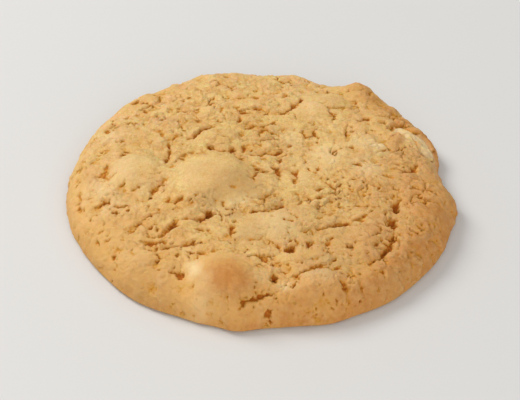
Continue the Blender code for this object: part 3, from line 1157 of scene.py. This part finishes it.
class Finish:
    """A Principled material, whose colour and relief are built up in layers."""

    def __init__(self, name, colour):
        self.material = bpy.data.materials.new(name)
        self.material.use_nodes = True
        self.nodes = self.material.node_tree.nodes
        self.links = self.material.node_tree.links
        self.shader = self.nodes["Principled BSDF"]
        self.place = self.nodes.new("ShaderNodeTexCoord").outputs["Object"]
        self.colour = colour
        self.relief = None

    def put(self, value, socket):
        """Links an output to a socket, or sets the socket to a plain value."""
        if isinstance(value, bpy.types.NodeSocket):
            self.links.new(value, socket)
        else:
            socket.default_value = value

    def node(self, kind, inputs, **settings):
        """The outputs of a new node with these settings and inputs."""
        node = self.nodes.new(kind)
        for name, value in settings.items():
            setattr(node, name, value)
        for key, value in inputs.items():
            self.put(value, node.inputs[key])
        return node.outputs

    def attribute(self, name):
        return self.node("ShaderNodeAttribute", {}, attribute_name=name)["Fac"]

    def noise(self, size, detail=3.0, roughness=0.55, output="Fac"):
        """Noise with swells of about size millimetres."""
        inputs = {"Vector": self.place, "Scale": 1 / (size * MM), "Detail": detail}
        return self.node("ShaderNodeTexNoise", inputs | {"Roughness": roughness})[output]

    def cells(self, size, place, feature="F1"):
        """Cells of about size millimetres."""
        inputs = {"Vector": place, "Scale": 1 / (size * MM)}
        return self.node("ShaderNodeTexVoronoi", inputs, feature=feature)

    def red(self, colour):
        """The red part of a colour, which is a random number when the colour is a cell's."""
        return self.node("ShaderNodeSeparateColor", {"Color": colour})["Red"]

    def vector_maths(self, operation, *values):
        """A sum or product of vectors, each an output or three numbers."""
        outputs = self.node("ShaderNodeVectorMath", dict(enumerate(values)), operation=operation)
        return outputs["Value" if operation == "DOT_PRODUCT" else "Vector"]

    def maths(self, operation, first, second, clamp=True):
        inputs = {0: first, 1: second}
        return self.node("ShaderNodeMath", inputs, operation=operation, use_clamp=clamp)["Value"]

    def times(self, first, second, clamp=True):
        return self.maths("MULTIPLY", first, second, clamp)

    def span(self, value, from_low, from_high, to_low=0.0, to_high=1.0):
        """A value carried over from one span to another, and kept within that."""
        inputs = {"Value": value, "From Min": from_low, "From Max": from_high}
        return self.node("ShaderNodeMapRange", inputs | {"To Min": to_low, "To Max": to_high})["Result"]

    def mix(self, share, first, second):
        """Mixes two colours, each an output or three numbers."""
        inputs = {"Factor": share}
        for key, value in zip(MIX_COLOURS, (first, second)):
            inputs[key] = value if isinstance(value, bpy.types.NodeSocket) else (*value, 1.0)
        return self.node("ShaderNodeMix", inputs, data_type="RGBA")[MIX_RESULT]

    def moved_about(self, size, reach):
        """The place, moved about by noise so that edges drawn over it come out ragged."""
        noise = self.noise(size, 3.0, 0.65, "Color")
        return self.vector_maths("MULTIPLY_ADD", noise, [2 * reach * MM] * 3, self.place)

    def plates(self, size, place):
        """Angular plates of about size millimetres: each one's level, its tilted top, how far it
        leans to the front right, away from the key light, which sets its painted shade, and the way to
        its edge."""
        plate = self.cells(size, place)
        edge = self.cells(size, place, "DISTANCE_TO_EDGE")["Distance"]
        lean = self.vector_maths("SUBTRACT", plate["Color"], (0.5, 0.5, 0.5))
        way = self.vector_maths("SUBTRACT", place, plate["Position"])
        tilt = self.vector_maths("DOT_PRODUCT", lean, way)
        tilt = self.span(tilt, -size * MM, size * MM, -0.5, 0.5)
        facing_away = self.vector_maths("DOT_PRODUCT", lean, SHADED_RISE)
        level = self.span(self.red(plate["Color"]), 0.0, 1.0, -0.5, 0.5)
        return level, tilt, facing_away, edge

    def dots(self, size, reach, most):
        """Dots about size millimetres apart, each out to reach of that, strong up to most."""
        cell = self.cells(size, self.moved_about(0.6, 0.25))
        dot = self.span(cell["Distance"], 0.5 * reach, reach, most, 0.0)
        return self.times(dot, self.span(self.red(cell["Color"]), 0.4, 0.8))

    def cover(self, share, colour):
        """Lays a colour over the layers so far, as strongly as share says."""
        self.colour = self.mix(share, self.colour, colour)

    def cover_all(self, layers, colours):
        """Lays a table's layers of noise over each other."""
        for name, attribute, size, detail, roughness, *spans in layers:
            share = self.span(self.noise(size, detail, roughness), *spans)
            if attribute:
                share = self.times(share, self.attribute(attribute))
            self.cover(share, getattr(colours, name))

    def bump(self, height, distance, strength=1.0):
        """Lays a relief of distance millimetres over the relief so far."""
        inputs = {"Height": height, "Distance": distance * MM, "Strength": strength}
        if self.relief is not None:
            inputs["Normal"] = self.relief
        self.relief = self.node("ShaderNodeBump", inputs)["Normal"]

    def finished(self, inputs):
        """Puts the layers and the shader's other inputs in, and gives the material."""
        inputs["Base Color"] = self.colour
        if self.relief is not None:
            inputs["Normal"] = self.relief
        for name, value in inputs.items():
            self.put(value, self.shader.inputs[name])
        return self.material


def dough_finish(colours):
    """Golden baked dough: mottled, toasted at the rim, with painted shade down in the cracks."""
    finish = Finish("baked_dough_finish", colours.golden)
    finish.cover_all(DOUGH_LAYERS, colours)
    # plates and flakes of crust, with painted shade on those that face away from the key light, and thin
    # lines between
    loose = finish.span(finish.attribute("crumbly"), 0.3, 0.95, 0.06, 1.0)
    plate, plate_tilt, plate_shade, plate_edge = finish.plates(PLATE_SIZE, finish.moved_about(3.0, 1.8))
    flake, flake_tilt, flake_shade, flake_edge = finish.plates(FLAKE_SIZE, finish.moved_about(1.2, 0.6))
    # painted shade on plates and flakes that face away from the key light
    for lean in (plate_shade, flake_shade):
        finish.cover(finish.times(finish.span(lean, 0.0, 0.45, 0.0, 0.4), loose), colours.fringe_and_shade)
    # painted shade in thin lines along the plates' edges
    cleft = finish.times(finish.span(plate_edge, 0.0, 0.09, 0.6, 0.0), loose)
    cleft = finish.times(cleft, finish.span(finish.noise(1.9), 0.45, 0.56))
    finish.cover(cleft, colours.cleft)
    # painted shade in small marks between the crumbs and along the flakes' edges
    nick_shade = finish.noise(1.1, 3.0, 0.62)
    nick_shade = finish.maths("ADD", nick_shade, finish.span(flake_edge, 0.0, 0.4, 0.0, 0.12))
    finish.cover(finish.times(finish.span(nick_shade, 0.33, 0.42, 0.22, 0.0), loose), colours.cleft)
    # dark specks and dots
    specks = finish.span(finish.noise(0.8, 2.0, 0.6), 0.32, 0.40, 0.75, 0.0)
    finish.cover(finish.times(specks, finish.attribute("speckled")), colours.deep)
    finish.cover(finish.dots(1.5, 0.12, 0.45), colours.cleft)
    # patches of colour
    finish.cover(finish.attribute("amber"), colours.amber)
    ragged = finish.span(finish.noise(1.6, 4.0), 0.3, 0.7, 0.65, 1.25)
    finish.cover(finish.times(finish.attribute("toasted"), ragged), colours.toasted)
    # painted shade in greyer patches
    finish.cover(finish.attribute("dulled"), colours.dulled)
    # paling over white chocolate, with a painted highlight on raised crumbs
    finish.cover(finish.attribute("paled_and_highlit"), colours.cream_and_highlight)
    # hollows, with an orange fringe round them and painted shade down in them
    finish.cover(finish.span(finish.attribute("hollow_fringe"), 0.06, 0.6, 0.0, 0.75), colours.fringe_and_shade)
    torn = finish.span(finish.noise(0.9, 3.0, 0.7), 0.3, 0.7, -0.28, 0.28)
    hollow = finish.maths("ADD", finish.attribute("hollow"), torn)
    # painted shade down in the hollows, shallow and then deep
    finish.cover(finish.span(hollow, 0.25, 0.60), colours.shallow)
    finish.cover(finish.span(hollow, 0.60, 1.0), colours.deep)
    # the underside
    browned = finish.span(finish.noise(3.0, 5.0), 0.35, 0.7)
    tray = finish.mix(browned, colours.underside, colours.honey)
    pores = finish.span(finish.noise(1.1, 3.0, 0.65), 0.32, 0.40, 0.7, 0.0)
    tray = finish.mix(pores, tray, colours.deep)
    finish.cover(finish.attribute("underside"), tray)
    # the relief, from the broad to the fine
    finish.bump(finish.noise(1.4, 3.0, 0.6), 0.25)
    steps = ((plate, PLATE_STEP), (plate_tilt, PLATE_TILT), (flake, FLAKE_STEP), (flake_tilt, FLAKE_TILT))
    for uneven, distance in steps:
        finish.bump(finish.times(uneven, loose, clamp=False), distance)
    finish.bump(finish.span(hollow, 0.3, 0.9, 1.0, 0.0), 0.20)
    finish.bump(finish.noise(0.5, 1.0, 0.5), 0.10)
    inputs = {
        "Roughness": finish.span(finish.noise(1.2), 0.3, 0.7, 0.56, 0.78),
        "Specular IOR Level": 0.18,
        "Subsurface Weight": 0.35,
        "Subsurface Radius": (1.0, 0.40, 0.12),
        "Subsurface Scale": 0.7 * MM,
    }
    return finish.finished(inputs)


def chocolate_finish(colours):
    """Cream white chocolate, greyed and yellowed in patches where the heat reached it."""
    finish = Finish("white_chocolate_finish", colours.chocolate)
    finish.cover_all(CHOCOLATE_LAYERS, colours)
    finish.bump(finish.noise(1.3, 3.0, 0.6), 0.35)
    finish.bump(finish.noise(0.6, 3.0, 0.6), 0.08, 0.6)
    inputs = {
        "Roughness": finish.span(finish.noise(1.0, 2.0), 0.3, 0.7, 0.42, 0.66),
        "Specular IOR Level": 0.25,
        "Subsurface Weight": 0.3,
        "Subsurface Radius": (1.0, 0.75, 0.45),
        "Subsurface Scale": 1.2 * MM,
    }
    return finish.finished(inputs)


def floor_finish(colour):
    """A plain pale surface, hardly mottled."""
    finish = Finish("stage_floor_finish", colour)
    mottle = finish.span(finish.noise(60.0, 2.0), 0.3, 0.7, 0.0, 0.05)
    finish.cover(mottle, [0.9 * part for part in colour])
    return finish.finished({"Roughness": 0.6})


# ---------------------------------------------------------------- operators


class COOKIE_OT_dough(bpy.types.Operator):
    """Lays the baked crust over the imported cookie"""

    bl_idname = "cookie.dough"
    bl_label = "Baked dough"

    def execute(self, context):
        crust = context.scene.cookie_crust
        shell = PackedShell()
        rings = crust_rings(shell, crust.rings, crust.roll)
        dough = new_object("dough", mesh_from_rings("dough", rings))
        settle = dough.modifiers.new("settle", "SMOOTH")
        settle.factor = 0.5
        settle.iterations = SETTLE_ROUNDS
        keep_modified_mesh(dough)
        self.shape(dough.data, shell, crust)
        dough.data.materials.append(dough_finish(context.scene.cookie_colours))
        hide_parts("cookie")
        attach(dough, "root")
        return {"FINISHED"}

    def shape(self, mesh, shell, crust):
        """Moves the points of the smooth form out or in, and sets how each one is coloured."""
        places, normals = mesh_arrays(mesh)
        relief = Relief(places, normals, shell, crust)
        relief.lift_plates()
        relief.ring_mounds()
        relief.uneven_crumb()
        relief.crumble()
        relief.prick_pinholes()
        relief.open_cracks()
        relief.open_pits()
        seat_round_chunk(relief, places)
        edges = mesh_edges(mesh)
        close = spread_out(relief.height, edges, CLOSE_ROUNDS)
        wide = spread_out(close, edges, WIDE_ROUNDS)
        # how sunk each point is below the ground round it, which sets the painted shade in hollows
        sunk = CLOSE_SHARE * (close - relief.height) + WIDE_SHARE * (wide - relief.height)
        relief.hollow = np.maximum(CUT_SHARE * relief.hollow, sunk / crust.cavity)
        relief.hollow *= 1 - 0.85 * relief.by_chunk
        # how far each point stands above the ground close by, which sets a painted highlight on raised
        # crumbs
        raised = np.clip((relief.height - close) / crust.cavity, 0, 1)
        belly = BELLY * smoothstep(0.3, -0.5, normals[:, 2]) * np.exp(-((relief.inward / 2.5) ** 2))
        moved = places + normals * ((relief.height * relief.up + belly) * MM)[:, None]
        under = smoothstep(0.2, 0.8, -normals[:, 2]) * (1 - relief.up)
        dimple = UNDER_DIMPLE + 0.10 * layered_noise(relief.points, 5.0, 141)
        moved[:, 2] += under * np.clip(dimple, 0, None) * smoothstep(1.5, 5, relief.inward) * MM
        moved[:, 2] = np.maximum(moved[:, 2], 0)
        set_places(mesh, moved)
        looks = {
            "hollow": relief.hollow * relief.up,
            "toasted": relief.toast(),
            "paled_and_highlit": np.maximum(relief.pale(), 0.4 * raised),
            "underside": under,
            "hollow_fringe": spread_out(np.clip(relief.hollow, 0, 1.2), edges, STAIN_ROUNDS),
            "outer": 0.1 + 0.9 * smoothstep(15, 50, relief.radius),
            "amber": relief.ambered(),
            # painted shade in greyer patches
            "dulled": relief.patches(PAINTED_SHADE_PATCHES),
            "speckled": relief.speckle(),
            "crumbly": 0.15 + np.maximum(relief.loose, relief.crazed),
        }
        for name, values in looks.items():
            set_attribute(mesh, name, values)


class COOKIE_OT_chunk(bpy.types.Operator):
    """Shapes the bare chunk of white chocolate in the shoulder of the rim"""

    bl_idname = "cookie.chunk"
    bl_label = "Bare white chocolate chunk"

    def execute(self, context):
        bm = bmesh.new()
        bm.from_mesh(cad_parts["white_chunk"].data)
        bmesh.ops.remove_doubles(bm, verts=bm.verts, dist=JOINED_WITHIN * MM)
        mesh = mesh_from(bm, "bare_chunk")
        mesh.materials.clear()
        chunk = new_object("bare_chunk", mesh)
        rounding = chunk.modifiers.new("rounding", "SUBSURF")
        rounding.levels = CHUNK_SPLITS
        rounding.render_levels = CHUNK_SPLITS
        keep_modified_mesh(chunk)
        roughen(chunk.data, self.broken_faces)
        chunk.data.materials.append(chocolate_finish(context.scene.cookie_colours))
        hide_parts("white_chunk")
        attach(chunk, "root")
        return {"FINISHED"}

    def broken_faces(self, points):
        """Lumps, grain, and clefts where the lumps meet."""
        rough = 0.35 * layered_noise(points, 3.2, 201) + 0.08 * layered_noise(points, 0.9, 211, 2)
        cleft = gradient_noise(points, 4.0, 221) / CHUNK_CLEFT_WIDTH
        return rough - CHUNK_CLEFT * np.exp(-(cleft**2))


class COOKIE_OT_chip_tips(bpy.types.Operator):
    """Sets the tips of small chips that just break the crust"""

    bl_idname = "cookie.chip_tips"
    bl_label = "Chip tips"

    def execute(self, context):
        dough = bpy.data.objects.get("dough")
        if dough is None:
            raise RuntimeError("the chip tips need the baked dough first")
        graph = bpy.context.evaluated_depsgraph_get()
        tree = BVHTree.FromObject(dough, graph)
        bm = bmesh.new()
        for middle_x, middle_y, half_length, half_width, turn, height in CHIP_TIPS:
            start = Vector((middle_x + RIM_MIDDLE[0], middle_y + RIM_MIDDLE[1], DROP_HEIGHT)) * MM
            seat = tree.ray_cast(start, Vector((0, 0, -1)))[0]
            made = bmesh.ops.create_icosphere(bm, subdivisions=3, radius=1)["verts"]
            cos = math.cos(math.radians(turn))
            sin = math.sin(math.radians(turn))
            for vert in made:
                out_x = vert.co.x * half_length
                out_y = vert.co.y * half_width
                up = vert.co.z * TIP_HALF_HEIGHT + height - TIP_SUNK
                flat = Vector((out_x * cos - out_y * sin, out_x * sin + out_y * cos, up))
                vert.co = seat + flat * MM
        mesh = mesh_from(bm, "chip_tips")
        tips = new_object("chip_tips", mesh)
        roughen(mesh, lambda points: 0.22 * layered_noise(points, 1.1, 231))
        mesh.materials.append(chocolate_finish(context.scene.cookie_colours))
        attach(tips, "root")
        return {"FINISHED"}


class COOKIE_OT_stage(bpy.types.Operator):
    """Sets the plain floor, the soft light and the camera"""

    bl_idname = "cookie.stage"
    bl_label = "Stage"

    def execute(self, context):
        stage = context.scene.cookie_stage
        self.lay_floor(stage)
        self.light_softly(context, stage)
        self.place_camera(context, stage)
        return {"FINISHED"}

    def lay_floor(self, stage):
        bm = bmesh.new()
        bmesh.ops.create_circle(bm, cap_ends=True, segments=96, radius=FLOOR_RADIUS)
        mesh = mesh_from(bm, "stage_floor")
        floor = new_object("stage_floor", mesh)
        floor.location.z = CAD_LOW.z
        mesh.materials.append(floor_finish(stage.floor))

    def light_softly(self, context, stage):
        world = bpy.data.worlds.new("stage_sky")
        world.use_nodes = True
        sky = world.node_tree.nodes["Background"]
        sky.inputs["Color"].default_value = SKY_COLOUR
        sky.inputs["Strength"].default_value = stage.sky
        context.scene.world = world
        self.hang_lamp(context, stage.key_power, *KEY_LAMP)
        self.hang_lamp(context, stage.fill_power, *FILL_LAMP)
        context.scene.view_settings.view_transform = "Standard"

    def hang_lamp(self, context, power, name, width, place):
        lamp = bpy.data.lights.new(name, "AREA")
        lamp.shape = "DISK"
        lamp.size = width
        lamp.energy = power
        lamp.color = LAMP_COLOUR
        hung = bpy.data.objects.new(name, lamp)
        hung.location = place
        hung.rotation_euler = (-hung.location).to_track_quat("-Z", "Y").to_euler()
        context.scene.collection.objects.link(hung)

    def place_camera(self, context, stage):
        data = bpy.data.cameras.new("camera")
        data.sensor_width = SENSOR_WIDTH
        data.lens = stage.lens
        camera = bpy.data.objects.new("camera", data)
        aim = Vector((RIM_MIDDLE[0] + CAMERA_AIM[0], RIM_MIDDLE[1] + CAMERA_AIM[1], 0)) * MM
        back = Vector((0, -math.cos(stage.elevation), math.sin(stage.elevation)))
        camera.location = aim + back * stage.distance
        camera.rotation_euler = (math.pi / 2 - stage.elevation, 0, 0)
        context.scene.collection.objects.link(camera)
        context.scene.camera = camera


class COOKIE_PT_panel(bpy.types.Panel):
    """Lists the cookie's pieces in the order in which they are made"""

    bl_idname = "COOKIE_PT_panel"
    bl_label = "Macadamia Cookie"
    bl_space_type = "VIEW_3D"
    bl_region_type = "UI"
    bl_category = "Cookie"

    def draw(self, context):
        layout = self.layout
        for maker in MAKERS:
            layout.operator(maker.bl_idname)
        for name, group in SETTINGS.items():
            box = layout.box()
            for setting in group.__annotations__:
                box.prop(getattr(context.scene, name), setting)


MAKERS = (COOKIE_OT_dough, COOKIE_OT_chunk, COOKIE_OT_chip_tips, COOKIE_OT_stage)
SETTINGS = {
    "cookie_crust": CookieCrust,
    "cookie_colours": CookieColours,
    "cookie_stage": CookieStage,
}


CLASSES = (*SETTINGS.values(), *MAKERS, COOKIE_PT_panel)


def register():
    for kind in CLASSES:
        bpy.utils.register_class(kind)
    for name, group in SETTINGS.items():
        setattr(bpy.types.Scene, name, PointerProperty(type=group))


def unregister():
    for name in SETTINGS:
        delattr(bpy.types.Scene, name)
    for kind in reversed(CLASSES):
        bpy.utils.unregister_class(kind)


def main():
    register()
    bpy.ops.cookie.dough()
    bpy.ops.cookie.chunk()
    bpy.ops.cookie.chip_tips()
    bpy.ops.cookie.stage()


if __name__ == "__main__":
    main()
